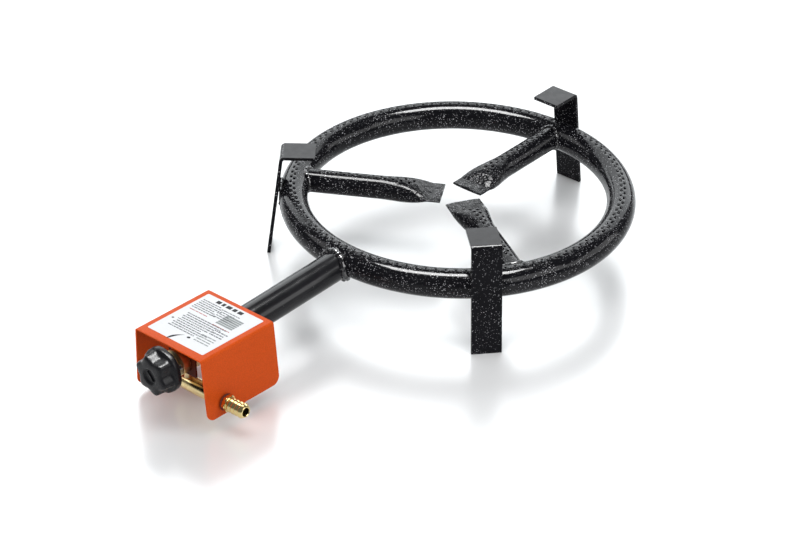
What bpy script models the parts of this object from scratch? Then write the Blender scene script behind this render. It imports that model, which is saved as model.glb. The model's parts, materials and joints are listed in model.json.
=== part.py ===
"""Single-ring gas burner stand: a perforated ring on three strap legs, fed by a mixing tube
from a gas tap under a folded sheet cover.  Metres, +Z up, tap knob towards -Y, hose tail
towards +X, origin on the floor at the centre of the assembly's plan."""
import math

import bmesh
import bpy
import numpy as np
from mathutils import Matrix, Vector

MM = 0.001
GAP = 0.3 * MM                      # air between pieces that touch

# ---- burner ring -----------------------------------------------------------------------
RING_OUTER_D = 300 * MM
RING_TUBE_D = 24.5 * MM
RING_WALL = 1.5 * MM
RING_AXIS_Z = 53.2 * MM
RING_R = (RING_OUTER_D - RING_TUBE_D) / 2
RING_STEPS = 72
RING_SIDES = 16
RING_BORE_SIDES = 12

# ---- inner arms: tubes crimped flat at the tip --------------------------------------------
ARM_AZIMUTHS = (93, 213, 333)       # degrees, seen from above
ARM_D = 20 * MM
ARM_WALL = 1.2 * MM
ARM_TIP_R = 12.7 * MM               # cut end to the ring's centre
ARM_LIP = 11 * MM                   # length of the crimped flat
ARM_LIP_W = 30.7 * MM
ARM_LIP_T = 2.6 * MM
ARM_FLARE = 43 * MM                 # length over which round turns flat
ARM_PORT_D = 14 * MM                # gas hole from the ring into an arm
ARM_SIDES = 20

# ---- legs: flat strap bent over at the top into a pan rest -----------------------------------
LEG_AZIMUTHS = (93, 222, 321)
LEG_W = 25 * MM
LEG_T = 3 * MM
LEG_H = 93.5 * MM
LEG_FOOT_R = 160.5 * MM             # outer face at the floor, from the ring's centre
LEG_SPLAY = math.radians(7.4)
PAD_LENGTH = 29.5 * MM
PAD_BEND_R = 4.5 * MM               # outside of the bend

# ---- mixing tube ----------------------------------------------------------------------------
MIX_D = 25 * MM
MIX_WALL = 1.5 * MM
MIX_START_U = 141 * MM              # U runs from the ring's centre towards the tap
MIX_END_U = 286 * MM
MIX_START_Z = 50.1 * MM
MIX_END_Z = 41.2 * MM
MIX_PORT_D = 19 * MM                # gas hole from the mixing tube into the ring

# ---- folded sheet cover over the tap --------------------------------------------------------
COVER_U0 = 253 * MM
COVER_U1 = 329.5 * MM
COVER_W = 75 * MM
COVER_TOP_Z = 61.4 * MM
COVER_DROP = 54.2 * MM              # height of a side panel
COVER_SHIFT_X = 1 * MM              # the cover sits off the tap's axis
COVER_T = 1.2 * MM
COVER_BEND_R = 2.4 * MM
COVER_CORNER_R = 7 * MM
COVER_FLARE = math.radians(3.5)
FRONT_ROLL = math.radians(2.5)        # cover and tap sit a little turned on the mixing tube

# ---- rating label ----------------------------------------------------------------------------
LABEL_T = 0.25 * MM
LABEL_MARGIN = 4 * MM
LABEL_GAP = 0.15 * MM

# ---- gas tap, on an axis along Y ----------------------------------------------------------------
TAP_Z = 41.5 * MM
TAP_BODY_D = 22 * MM
TAP_BODY_U = (297 * MM, 313.7 * MM)
TAP_BORE_D = 9.2 * MM
TAP_SEAT_U = 298.5 * MM
TAP_OUTLET_D = 3.6 * MM
TAP_INLET_D = 3.4 * MM
TAP_BOSS_D = 6.2 * MM
PLUG_D = 9 * MM
PLUG_U = (298.8 * MM, 313.4 * MM)
PLUG_SOCKET_R = 2.9 * MM            # six-sided, across corners
PLUG_SOCKET_U = 300.6 * MM
STEM_D = 6 * MM
STEM_KEY_R = 2.65 * MM
STEM_U = (309 * MM, 345.5 * MM)
STEM_KEY_END_U = 317.2 * MM
SPRING_R = 1.95 * MM
SPRING_WIRE_D = 0.6 * MM
SPRING_U = (301.2 * MM, 308.4 * MM)
SPRING_TURNS = 4
PUSH = 3 * MM                       # knob travel before it turns

BONNET_D = 22 * MM
BONNET_U = (315.8 * MM, 323.5 * MM)
BONNET_NOSE_D = 10.6 * MM
BONNET_NOSE_U = 328 * MM
BONNET_BORE_D = 6.5 * MM
SCREW_D = 3 * MM
SCREW_HOLE_D = 3.6 * MM
SCREW_HEAD_D = 4.2 * MM
SCREW_HEAD_H = 1.8 * MM
SCREW_X = 8.1 * MM
SCREW_TIP_U = 307 * MM
SCREW_HOLE_END_U = 306 * MM

INJECTOR_U = (283.5 * MM, 296.7 * MM)
INJECTOR_D = 9 * MM
INJECTOR_HEX_R = 6.6 * MM
INJECTOR_HEX_U = 292.5 * MM
INJECTOR_NOSE_D = 4 * MM
INJECTOR_JET_D = 1.6 * MM
INJECTOR_BORE_D = 4.4 * MM

# ---- tap bracket ------------------------------------------------------------------------------
BRACKET_W = 30 * MM
BRACKET_T = 1.5 * MM
BRACKET_TONGUE_U = 314 * MM
BRACKET_TONGUE_Z = 30 * MM
BRACKET_SADDLE_U = 262 * MM
BRACKET_SADDLE_Z = 43 * MM

# ---- knob ------------------------------------------------------------------------------------
KNOB_D = 38.6 * MM
KNOB_U = (333 * MM, 349.5 * MM)
KNOB_LOBES = 6
KNOB_LOBE_DEPTH = 3.2 * MM           # at the grip; the skirt behind it is nearly round
KNOB_SKIRT_DEPTH = 0.5 * MM
KNOB_TURN = math.radians(-75)       # one lobe's direction, from +X towards +Z
KNOB_BORE_D = 6.4 * MM
KNOB_STEPS = 48

# ---- gas inlet: cross bar and hose tail, along X ---------------------------------------------------
INLET_U = 310.5 * MM
INLET_Z = 17.8 * MM
BAR_D = 13 * MM
BAR_X = (-13 * MM, 38.9 * MM)
BAR_BORE_D = 7 * MM
BAR_BORE_END_X = -6 * MM
BAR_SOCKET_D = 10.2 * MM
BAR_SOCKET_X = 26 * MM
TAIL_SHANK_D = 9.5 * MM
TAIL_SHANK_X = 26.4 * MM
TAIL_COLLAR_X = 43.4 * MM
TAIL_COLLAR_T = 3.2 * MM
TAIL_COLLAR_R = 7.3 * MM            # six-sided, across corners
TAIL_END_X = 64 * MM
TAIL_RIB_D = 12.4 * MM
TAIL_ROOT_D = 10.4 * MM
TAIL_RIBS = 4
TAIL_BORE_D = 7 * MM
PANEL_HOLE_D = 10.4 * MM
WASHER_D = 14 * MM
WASHER_T = 1 * MM
WASHER_HOLE_D = 10.2 * MM

TURN_SIDES = 32
CUT_PHASE = math.radians(4)         # turns a cutter's edges off those of the piece it cuts


def material(name, colour, roughness, metallic=0.0, coat=0.0):
    mat = bpy.data.materials.new(name)
    mat.use_nodes = True
    shader = mat.node_tree.nodes["Principled BSDF"]
    shader.inputs["Base Color"].default_value = (*colour, 1)
    shader.inputs["Roughness"].default_value = roughness
    shader.inputs["Metallic"].default_value = metallic
    shader.inputs["Coat Weight"].default_value = coat
    mat.diffuse_color = (*colour, 1)
    return mat


def add(name, bm, mat, smooth=30):
    """Closes off a bmesh as a named object, faces out, smooth except over sharp edges."""
    bmesh.ops.remove_doubles(bm, verts=bm.verts, dist=1e-7)
    bmesh.ops.recalc_face_normals(bm, faces=bm.faces)
    mesh = bpy.data.meshes.new(name)
    bm.to_mesh(mesh)
    bm.free()
    obj = bpy.data.objects.new(name, mesh)
    bpy.context.scene.collection.objects.link(obj)
    if mat:
        mesh.materials.append(mat)
    if smooth:
        mesh.shade_smooth()
        mesh.set_sharp_from_angle(angle=math.radians(smooth))
    return obj


def cutter(name, bm):
    obj = add(name, bm, None, smooth=0)
    obj.hide_render = True
    obj.display_type = "WIRE"
    return obj


def cut(obj, *tools):
    """Subtracts the tools from the object and drops them."""
    for tool in tools:
        mod = obj.modifiers.new("cut", "BOOLEAN")
        mod.operation = "DIFFERENCE"
        mod.solver = "EXACT"
        mod.object = tool
    graph = bpy.context.evaluated_depsgraph_get()
    mesh = bpy.data.meshes.new_from_object(obj.evaluated_get(graph))
    obj.modifiers.clear()
    obj.data = mesh
    for tool in tools:
        bpy.data.objects.remove(tool)
    return obj


def skin(bm, rings, close_ends=True, loop=False):
    """Joins rings of equal length into one skin; a ring of one point is a pole."""
    rows = [[bm.verts.new(p) for p in ring] for ring in rings]
    pairs = list(zip(rows, rows[1:]))
    if loop:
        pairs.append((rows[-1], rows[0]))
    for a, b in pairs:
        count = max(len(a), len(b))
        for i in range(count):
            j = (i + 1) % count
            if len(a) == 1:
                bm.faces.new((a[0], b[i], b[j]))
            elif len(b) == 1:
                bm.faces.new((a[j], a[i], b[0]))
            else:
                bm.faces.new((a[i], b[i], b[j], a[j]))
    if close_ends and not loop:
        for row in (rows[0], rows[-1]):
            if len(row) > 2:
                bm.faces.new(row)
    return bm


def turned(profile, sides=TURN_SIDES, loop=False, lobes=0, phase=0.0):
    """A body turned about +X from (x, radius[, lobe depth]) points."""
    rings = []
    for x, radius, *depth in profile:
        if radius == 0:
            rings.append([(x, 0, 0)])
            continue
        ring = []
        for k in range(sides):
            a = 2 * math.pi * k / sides + phase
            r = radius
            if depth:
                r -= depth[0] * (1 - math.cos(lobes * (a - phase))) / 2
            ring.append((x, r * math.cos(a), r * math.sin(a)))
        rings.append(ring)
    return skin(bmesh.new(), rings, loop=loop)


def pipe(x0, x1, radius, bore, sides=TURN_SIDES):
    return turned([(x0, bore), (x0, radius), (x1, radius), (x1, bore)], sides, loop=True)


def rod(x0, x1, radius, sides=TURN_SIDES, phase=CUT_PHASE):
    return turned([(x0, radius), (x1, radius)], sides, phase=phase)


def torus(radius, steps=RING_STEPS, sides=RING_SIDES, inside_out=False, into=None):
    bm = into or bmesh.new()
    rings = []
    for i in range(steps):
        a = 2 * math.pi * i / steps
        ring = []
        for k in range(sides):
            b = 2 * math.pi * (k + 0.5) / sides * (-1 if inside_out else 1)
            r = RING_R + radius * math.cos(b)
            ring.append((r * math.cos(a), r * math.sin(a), RING_AXIS_Z + radius * math.sin(b)))
        rings.append(ring)
    return skin(bm, rings, loop=True)


def place(bm, matrix):
    bmesh.ops.transform(bm, matrix=matrix, verts=bm.verts)
    return bm


def radial(azimuth):
    """+X out along an azimuth, from the ring's centre."""
    return Matrix.Rotation(math.radians(azimuth), 4, "Z")


ROLL = (Matrix.Translation((0, 0, TAP_Z)) @ Matrix.Rotation(-FRONT_ROLL, 4, "Y")
        @ Matrix.Translation((0, 0, -TAP_Z)))
COVER = ROLL @ Matrix.Translation((COVER_SHIFT_X, 0, 0))
TAP = ROLL @ Matrix.Translation((0, 0, TAP_Z)) @ Matrix.Rotation(-math.pi / 2, 4, "Z")
INLET = ROLL @ Matrix.Translation((0, -INLET_U, INLET_Z))


def box(x, y, z):
    bm = bmesh.new()
    skin(bm, [[(x[0], y[0], h), (x[1], y[0], h), (x[1], y[1], h), (x[0], y[1], h)] for h in z])
    return bm


def inlet_drop(z0, z1, radius, sides=16):
    """A vertical cylinder at the tap, down to the cross bar."""
    bm = rod(z0, z1, radius, sides)
    turn = Matrix.Rotation(-math.pi / 2, 4, "Y")
    return place(bm, ROLL @ Matrix.Translation((0, -INLET_U, 0)) @ turn)


def make_ring():
    bm = torus(RING_TUBE_D / 2)
    torus(RING_TUBE_D / 2 - RING_WALL, sides=RING_BORE_SIDES, into=bm)
    mesh = bpy.data.meshes.new("burner_ring")
    bmesh.ops.recalc_face_normals(bm, faces=bm.faces)
    faces = list(bm.faces)
    bmesh.ops.reverse_faces(bm, faces=[f for f in faces[len(faces) * RING_SIDES
                            // (RING_SIDES + RING_BORE_SIDES):]])
    bm.to_mesh(mesh)
    bm.free()
    ring = bpy.data.objects.new("burner_ring", mesh)
    bpy.context.scene.collection.objects.link(ring)
    mesh.materials.append(ENAMEL)
    tools = []
    for azimuth in ARM_AZIMUTHS:
        at = radial(azimuth) @ Matrix.Translation((0, 0, RING_AXIS_Z))
        bm = rod(RING_R - RING_TUBE_D, RING_R - RING_TUBE_D / 8, ARM_PORT_D / 2, 16)
        tools.append(cutter("arm_port", place(bm, at)))
    bm = rod(RING_R + RING_TUBE_D / 8, RING_R + RING_TUBE_D, MIX_PORT_D / 2, 16)
    at = radial(-90) @ Matrix.Translation((0, 0, RING_AXIS_Z - 1.2 * MM))
    tools.append(cutter("mix_port", place(bm, at)))
    cut(ring, *tools)
    ring.data.shade_smooth()
    ring.data.set_sharp_from_angle(angle=math.radians(40))


def flattened(x, width, height, sides=ARM_SIDES):
    """A section across +X between a circle and a flat rounded strip."""
    flat = max(0.0, 1 - height / width)
    power = 1 - 0.45 * flat
    ring = []
    for k in range(sides):
        a = 2 * math.pi * (k + 0.5) / sides
        c, s = math.cos(a), math.sin(a)
        ring.append((x, math.copysign(abs(c) ** power, c) * width / 2,
                     math.copysign(abs(s) ** power, s) * height / 2))
    return ring


def arm_section(x, shrink):
    """Outer section of an arm at x, less shrink all round."""
    t = (x - ARM_TIP_R - ARM_LIP) / ARM_FLARE
    t = min(1.0, max(0.0, t))
    blend = t * t * (3 - 2 * t)
    width = ARM_LIP_W + (ARM_D - ARM_LIP_W) * blend
    height = ARM_LIP_T + (ARM_D - ARM_LIP_T) * blend
    return flattened(x, width - 2 * shrink, max(height - 2 * shrink, 0.4 * MM))


def make_arms():
    flare_start = ARM_TIP_R + ARM_LIP
    flare_end = flare_start + ARM_FLARE
    ring_end = RING_R - 5 * MM
    bore = [flare_start + ARM_FLARE * f for f in (0.12, 0.3, 0.5, 0.7, 0.85, 1)]
    outer = [flare_end] + [flare_start + ARM_FLARE * f for f in (0.85, 0.7, 0.5, 0.3, 0.15, 0)]
    for number, azimuth in enumerate(ARM_AZIMUTHS, 1):
        rings = [arm_section(x, ARM_WALL) for x in bore + [ring_end]]
        rings += [arm_section(x, 0) for x in [ring_end] + outer + [ARM_TIP_R]]
        bm = skin(bmesh.new(), rings)
        place(bm, radial(azimuth) @ Matrix.Translation((0, 0, RING_AXIS_Z)))
        arm = add(f"inner_arm_{number}", bm, ENAMEL, smooth=40)
        cut(arm, cutter("ring_clearance", torus(RING_TUBE_D / 2 + GAP)))


def make_legs():
    tan, cos, sin = math.tan(LEG_SPLAY), math.cos(LEG_SPLAY), math.sin(LEG_SPLAY)
    top_r = LEG_FOOT_R - LEG_H * tan
    slack = math.pi / 2 + LEG_SPLAY          # turn of the bend
    inner_bend = PAD_BEND_R - LEG_T
    setback = PAD_BEND_R * math.tan(slack / 2) if slack < math.pi else 0
    centre = (top_r - setback, LEG_H - PAD_BEND_R)
    arcs = []
    for radius in (PAD_BEND_R, inner_bend):
        arc = []
        for i in range(7):
            a = math.pi / 2 - (math.pi / 2 - LEG_SPLAY) * i / 6
            arc.append((centre[0] + radius * math.cos(a), centre[1] + radius * math.sin(a)))
        arcs.append(arc)
    # slide the straight shin so that it runs on from the bend
    start = arcs[0][-1]
    foot_outer = (start[0] + start[1] * tan, 0)
    foot_inner = (foot_outer[0] - LEG_T / cos, 0)
    shift = LEG_FOOT_R - foot_outer[0]
    outline = [(top_r - PAD_LENGTH, LEG_H - LEG_T), (top_r - PAD_LENGTH, LEG_H)]
    outline += [(r + shift, z) for r, z in arcs[0]]
    outline += [(foot_outer[0] + shift, 0), (foot_inner[0] + shift, 0)]
    outline += [(r + shift, z) for r, z in reversed(arcs[1])]
    for number, azimuth in enumerate(LEG_AZIMUTHS, 1):
        bm = bmesh.new()
        skin(bm, [[(r, side * LEG_W / 2, z) for r, z in outline] for side in (-1, 1)])
        place(bm, radial(azimuth))
        add(f"leg_{number}", bm, STRAP)


def make_mixing_tube():
    start = Vector((0, -MIX_START_U, MIX_START_Z))
    run = Vector((0, -MIX_END_U, MIX_END_Z)) - start
    aim = Matrix.Translation(start) @ run.to_track_quat("X", "Z").to_matrix().to_4x4()
    bm = pipe(0, run.length, MIX_D / 2, MIX_D / 2 - MIX_WALL, sides=28)
    tube = add("mixing_tube", place(bm, aim), SATIN)
    cut(tube, cutter("ring_clearance", torus(RING_TUBE_D / 2 + GAP)))


def cover_path():
    """Developed section of the cover: (x, z, outward normal x, z, distance to the free edge)."""
    half = COVER_W / 2
    path = []
    sweep = math.pi / 2 - COVER_FLARE
    knee = (half - COVER_BEND_R, COVER_TOP_Z - COVER_BEND_R)
    bend = []
    for i in range(5):
        a = math.pi / 2 - sweep * i / 4
        bend.append((knee[0] + COVER_BEND_R * math.cos(a), knee[1] + COVER_BEND_R * math.sin(a),
                     math.cos(a), math.sin(a)))
    x, z, nx, nz = bend[-1]
    reach = (COVER_DROP - COVER_BEND_R) / math.cos(COVER_FLARE)
    down = (nz, -nx)
    stops = [COVER_CORNER_R * (1 - math.cos(math.radians(a))) for a in (90, 67.5, 45, 22.5, 0)]
    for left in stops:
        s = reach - left
        path.append((x + down[0] * -s if nz < 0 else x + nz * s, z - nx * s, nx, nz, left))
    right = [(*b, reach) for b in bend] + path
    mirrored = [(-px, pz, -mx, mz, left) for px, pz, mx, mz, left in reversed(right)]
    return mirrored + right


def make_cover():
    rows = []
    for x, z, nx, nz, left in cover_path():
        inset = 0.0
        if left < COVER_CORNER_R:
            rise = COVER_CORNER_R - left
            inset = COVER_CORNER_R - math.sqrt(max(0.0, COVER_CORNER_R ** 2 - rise ** 2))
        y0, y1 = -COVER_U1 + inset, -COVER_U0 - inset
        ix, iz = x - nx * COVER_T, z - nz * COVER_T
        rows.append([(x, y0, z), (x, y1, z), (ix, y1, iz), (ix, y0, iz)])
    cover = add("tap_cover", place(skin(bmesh.new(), rows), COVER), COVER_PAINT)
    hole = rod(COVER_W / 2 - 8 * MM, COVER_W / 2 + 12 * MM, PANEL_HOLE_D / 2, 24)
    cut(cover, cutter("panel_hole", place(hole, INLET)))


def make_label():
    half = COVER_W / 2 - LABEL_MARGIN
    base = COVER_TOP_Z + LABEL_GAP
    bm = box((-half, half), (-COVER_U1 + LABEL_MARGIN, -COVER_U0 - LABEL_MARGIN),
             (base, base + LABEL_T))
    add("rating_label", place(bm, COVER), PAPER, smooth=0)


def make_bracket():
    top = COVER_TOP_Z - COVER_T - GAP
    u0, u1 = BRACKET_SADDLE_U, BRACKET_TONGUE_U + BRACKET_T
    outline = [(u0, top), (u1, top), (u1, BRACKET_TONGUE_Z), (u1 - BRACKET_T, BRACKET_TONGUE_Z),
               (u1 - BRACKET_T, top - BRACKET_T), (u0 + BRACKET_T, top - BRACKET_T),
               (u0 + BRACKET_T, BRACKET_SADDLE_Z), (u0, BRACKET_SADDLE_Z)]
    bm = bmesh.new()
    skin(bm, [[(x, -u, z) for u, z in outline] for x in (-BRACKET_W / 2, BRACKET_W / 2)])
    bracket = add("tap_bracket", place(bm, ROLL), COVER_PAINT, smooth=0)
    tools = [place(rod(u1 - 3 * BRACKET_T, u1 + BRACKET_T, BONNET_BORE_D / 2 + GAP, 20), TAP)]
    for side in (-1, 1):
        at = TAP @ Matrix.Translation((0, side * SCREW_X, 0))
        hole = rod(u1 - 3 * BRACKET_T, u1 + BRACKET_T, SCREW_HOLE_D / 2, 12)
        tools.append(place(hole, at))
    slope = (MIX_START_Z - MIX_END_Z) / (MIX_END_U - MIX_START_U)
    tube_z = MIX_END_Z + (MIX_END_U - u0 - BRACKET_T / 2) * slope
    saddle = rod(u0 - 3 * BRACKET_T, u0 + 3 * BRACKET_T, MIX_D / 2 + 2 * GAP, 28)
    at = Matrix.Translation((0, 0, tube_z)) @ Matrix.Rotation(-math.pi / 2, 4, "Z")
    tools.append(place(saddle, at))
    cut(bracket, *[cutter("bracket_hole", tool) for tool in tools])


def make_tap():
    u0, u1 = TAP_BODY_U
    r = TAP_BODY_D / 2
    edge = 0.8 * MM
    body = turned([(u0, TAP_OUTLET_D / 2), (u0, 7 * MM), (u0 + 3 * MM, 7 * MM), (u0 + 4 * MM, r),
                   (u1 - edge, r), (u1, r - edge), (u1, TAP_BORE_D / 2),
                   (TAP_SEAT_U, TAP_BORE_D / 2), (TAP_SEAT_U, TAP_OUTLET_D / 2)], loop=True)
    body = add("tap_body", place(body, TAP), BRASS)
    boss_top = TAP_Z - TAP_BORE_D / 2 - 2 * MM
    boss = add("boss", inlet_drop(INLET_Z, boss_top, TAP_BOSS_D / 2, 24), BRASS)
    clearance = rod(-20 * MM, 20 * MM, BAR_D / 2 + GAP)
    cut(boss, cutter("bar_clearance", place(clearance, INLET)))
    join = body.modifiers.new("boss", "BOOLEAN")
    join.operation = "UNION"
    join.solver = "EXACT"
    join.object = boss
    cut(body)
    bpy.data.objects.remove(boss)
    tools = [cutter("inlet", inlet_drop(INLET_Z, TAP_Z - TAP_BORE_D / 4, TAP_INLET_D / 2, 12))]
    for side in (-1, 1):
        at = TAP @ Matrix.Translation((0, side * SCREW_X, 0))
        hole = rod(SCREW_HOLE_END_U, u1 + 5 * MM, SCREW_HOLE_D / 2, 12)
        tools.append(cutter("screw_hole", place(hole, at)))
    cut(body, *tools)

    p0, p1 = PLUG_U
    plug = rod(p0, p1, PLUG_D / 2, phase=0)
    plug = add("tap_plug", place(plug, TAP), BRASS)
    socket = rod(PLUG_SOCKET_U, p1 + 5 * MM, PLUG_SOCKET_R, 6, phase=0)
    cut(plug, cutter("socket", place(socket, TAP)))

    s0, s1 = STEM_U
    stem = turned([(s0, 0), (s0, STEM_KEY_R), (STEM_KEY_END_U, STEM_KEY_R), (STEM_KEY_END_U, 0)],
                  sides=6)
    stem = add("tap_stem", place(stem, TAP), STEEL)
    shaft = turned([(STEM_KEY_END_U - 0.5 * MM, 0), (STEM_KEY_END_U - 0.5 * MM, STEM_D / 2),
                    (s1 - 0.5 * MM, STEM_D / 2), (s1, STEM_D / 2 - 0.5 * MM), (s1, 0)], sides=24)
    shaft = add("shaft", place(shaft, TAP), STEEL)
    join = stem.modifiers.new("shaft", "BOOLEAN")
    join.operation = "UNION"
    join.solver = "EXACT"
    join.object = shaft
    cut(stem)
    bpy.data.objects.remove(shaft)

    b0, b1 = BONNET_U
    bonnet = turned([(b0, BONNET_BORE_D / 2), (b0, BONNET_D / 2), (b1 - edge, BONNET_D / 2),
                     (b1, BONNET_D / 2 - edge), (b1, BONNET_NOSE_D / 2),
                     (BONNET_NOSE_U - edge, BONNET_NOSE_D / 2),
                     (BONNET_NOSE_U, BONNET_NOSE_D / 2 - edge),
                     (BONNET_NOSE_U, BONNET_BORE_D / 2)], loop=True)
    bonnet = add("tap_bonnet", place(bonnet, TAP), BRASS)
    tools = []
    for number, side in enumerate((-1, 1), 1):
        at = TAP @ Matrix.Translation((0, side * SCREW_X, 0))
        hole = rod(b0 - 5 * MM, b1 + 5 * MM, SCREW_HOLE_D / 2, 12)
        tools.append(cutter("screw_hole", place(hole, at)))
        head = b1 + GAP
        screw = turned([(SCREW_TIP_U, 0), (SCREW_TIP_U, SCREW_D / 2 - 0.4 * MM),
                        (SCREW_TIP_U + 0.6 * MM, SCREW_D / 2), (head, SCREW_D / 2),
                        (head, SCREW_HEAD_D / 2), (head + SCREW_HEAD_H * 0.6, SCREW_HEAD_D / 2),
                        (head + SCREW_HEAD_H, SCREW_HEAD_D / 3), (head + SCREW_HEAD_H, 0)],
                       sides=16)
        add(f"bonnet_screw_{number}", place(screw, at), STEEL)
    cut(bonnet, *tools)

    i0, i1 = INJECTOR_U
    jet, bore = INJECTOR_JET_D / 2, INJECTOR_BORE_D / 2
    hexed = turned([(INJECTOR_HEX_U, bore), (INJECTOR_HEX_U, INJECTOR_HEX_R),
                    (i1, INJECTOR_HEX_R), (i1, bore)], sides=6, loop=True)
    nozzle = turned([(i0, jet), (i0, INJECTOR_NOSE_D / 2), (i0 + 3 * MM, INJECTOR_D / 2),
                     (i1, INJECTOR_D / 2), (i1, bore), (i0 + 4 * MM, bore), (i0 + 2.5 * MM, jet)],
                    sides=24, loop=True)
    nozzle = add("injector", place(nozzle, TAP), BRASS)
    hexed = rod(INJECTOR_HEX_U, i1, INJECTOR_HEX_R, 6)
    hexed = add("hex", place(hexed, TAP), BRASS)
    cut(hexed, cutter("bore", place(rod(i0, i1 + 5 * MM, INJECTOR_D / 2 - 1 * MM, 24), TAP)))
    join = nozzle.modifiers.new("hex", "BOOLEAN")
    join.operation = "UNION"
    join.solver = "EXACT"
    join.object = hexed
    cut(nozzle)
    bpy.data.objects.remove(hexed)


def make_spring():
    wire = SPRING_WIRE_D / 2
    x0, x1 = SPRING_U[0] + wire, SPRING_U[1] - wire
    steps = 12 * SPRING_TURNS
    rings = []
    for i in range(steps + 1):
        a = 2 * math.pi * SPRING_TURNS * i / steps
        out = Vector((0, math.cos(a), math.sin(a)))
        x = x0 + (x1 - x0) * i / steps
        ring = []
        for k in range(6):
            b = 2 * math.pi * k / 6
            ring.append(Vector((x, 0, 0)) + out * (SPRING_R - wire + wire * math.cos(b))
                        + Vector((wire * math.sin(b), 0, 0)))
        rings.append(ring)
    add("return_spring", place(skin(bmesh.new(), rings), TAP), STEEL)


def make_knob():
    u0, u1 = KNOB_U
    r, d, skirt = KNOB_D / 2, KNOB_LOBE_DEPTH, KNOB_SKIRT_DEPTH
    profile = [(u1 - 1.6 * MM, 0), (u1 - 1.6 * MM, 5.2 * MM), (u1 - 0.2 * MM, 6.6 * MM),
               (u1, 7.4 * MM), (u1, r - 4.2 * MM, d), (u1 - 1.2 * MM, r - 2.6 * MM, d),
               (u0 + 7.5 * MM, r - 1.6 * MM, d), (u0 + 5 * MM, r - 0.4 * MM, skirt),
               (u0 + 1 * MM, r, skirt), (u0, r - 0.8 * MM, skirt), (u0, r - 2.2 * MM, skirt),
               (u0 + 4.5 * MM, r - 3 * MM, skirt), (u0 + 8.5 * MM, r - 4.2 * MM, d),
               (u0 + 8.5 * MM, 6 * MM), (u0 + 1.8 * MM, 5.6 * MM),
               (u0 + 1.8 * MM, KNOB_BORE_D / 2), (STEM_U[1] + GAP, KNOB_BORE_D / 2),
               (STEM_U[1] + GAP, 0)]
    bm = turned(profile, KNOB_STEPS, lobes=KNOB_LOBES, phase=KNOB_TURN)
    add("knob", place(bm, TAP), PLASTIC, smooth=35)


def make_inlet():
    x0, x1 = BAR_X
    edge = 0.8 * MM
    r = BAR_D / 2
    bar = turned([(x0, 0), (x0, r - edge), (x0 + edge, r), (x1 - edge, r), (x1, r - edge),
                  (x1, BAR_SOCKET_D / 2), (BAR_SOCKET_X, BAR_SOCKET_D / 2),
                  (BAR_SOCKET_X, BAR_BORE_D / 2), (BAR_BORE_END_X, BAR_BORE_D / 2),
                  (BAR_BORE_END_X, 0)])
    bar = add("gas_bar", place(bar, INLET), BRASS)
    cut(bar, cutter("riser", inlet_drop(INLET_Z, INLET_Z + BAR_D, TAP_INLET_D / 2, 12)))

    bore, root, rib = TAIL_BORE_D / 2, TAIL_ROOT_D / 2, TAIL_RIB_D / 2
    c0, c1 = TAIL_COLLAR_X, TAIL_COLLAR_X + TAIL_COLLAR_T
    pitch = (TAIL_END_X - c1 - 2 * MM) / TAIL_RIBS
    profile = [(TAIL_SHANK_X, bore), (TAIL_SHANK_X, TAIL_SHANK_D / 2), (c0 + 1 * MM, TAIL_SHANK_D / 2),
               (c0 + 1 * MM, root), (c1 + 2 * MM, root)]
    for i in range(TAIL_RIBS):
        foot = c1 + 2 * MM + i * pitch
        profile += [(foot + 0.3 * MM, rib), (foot + 1.2 * MM, rib), (foot + pitch, root)]
    profile[-1] = (TAIL_END_X, root - 0.5 * MM)
    profile += [(TAIL_END_X, bore)]
    tail = add("hose_tail", place(turned(profile, loop=True), INLET), BRASS)
    collar = add("collar", place(rod(c0, c1, TAIL_COLLAR_R, 6), INLET), BRASS)
    core = rod(c0 - 5 * MM, c1 + 5 * MM, (bore + TAIL_SHANK_D / 2) / 2)
    cut(collar, cutter("core", place(core, INLET)))
    join = tail.modifiers.new("collar", "BOOLEAN")
    join.operation = "UNION"
    join.solver = "EXACT"
    join.object = collar
    cut(tail)
    bpy.data.objects.remove(collar)

    washer = pipe(c0 - GAP - WASHER_T, c0 - GAP, WASHER_D / 2, WASHER_HOLE_D / 2)
    add("inlet_washer", place(washer, INLET), FIBRE)


def centre_on_floor():
    """Moves everything so that the origin is at the middle of the plan, on the floor."""
    points = np.array([obj.matrix_world @ v.co for obj in bpy.data.objects
                       for v in obj.data.vertices])
    low, high = points.min(axis=0), points.max(axis=0)
    shift = Matrix.Translation((-(low[0] + high[0]) / 2, -(low[1] + high[1]) / 2, 0))
    for obj in bpy.data.objects:
        obj.data.transform(shift)


for old in list(bpy.data.objects):
    bpy.data.objects.remove(old)

ENAMEL = material("speckled_enamel", (0.018, 0.018, 0.022), 0.22, coat=0.5)
STRAP = material("dark_strap", (0.05, 0.05, 0.055), 0.4)
SATIN = material("satin_black", (0.022, 0.022, 0.025), 0.35)
COVER_PAINT = material("orange_paint", (0.6, 0.09, 0.03), 0.4)
PAPER = material("label_paper", (0.85, 0.85, 0.88), 0.5)
BRASS = material("brass", (0.78, 0.58, 0.22), 0.22, metallic=1.0)
STEEL = material("steel", (0.6, 0.6, 0.6), 0.3, metallic=1.0)
PLASTIC = material("black_plastic", (0.015, 0.015, 0.017), 0.4)
FIBRE = material("fibre_washer", (0.35, 0.05, 0.03), 0.7)

make_ring()
make_arms()
make_legs()
make_mixing_tube()
make_cover()
make_label()
make_bracket()
make_tap()
make_spring()
make_knob()
make_inlet()
centre_on_floor()
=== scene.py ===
import json
import math
import random

import bmesh
import bpy
from mathutils import Matrix, Vector, noise

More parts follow.
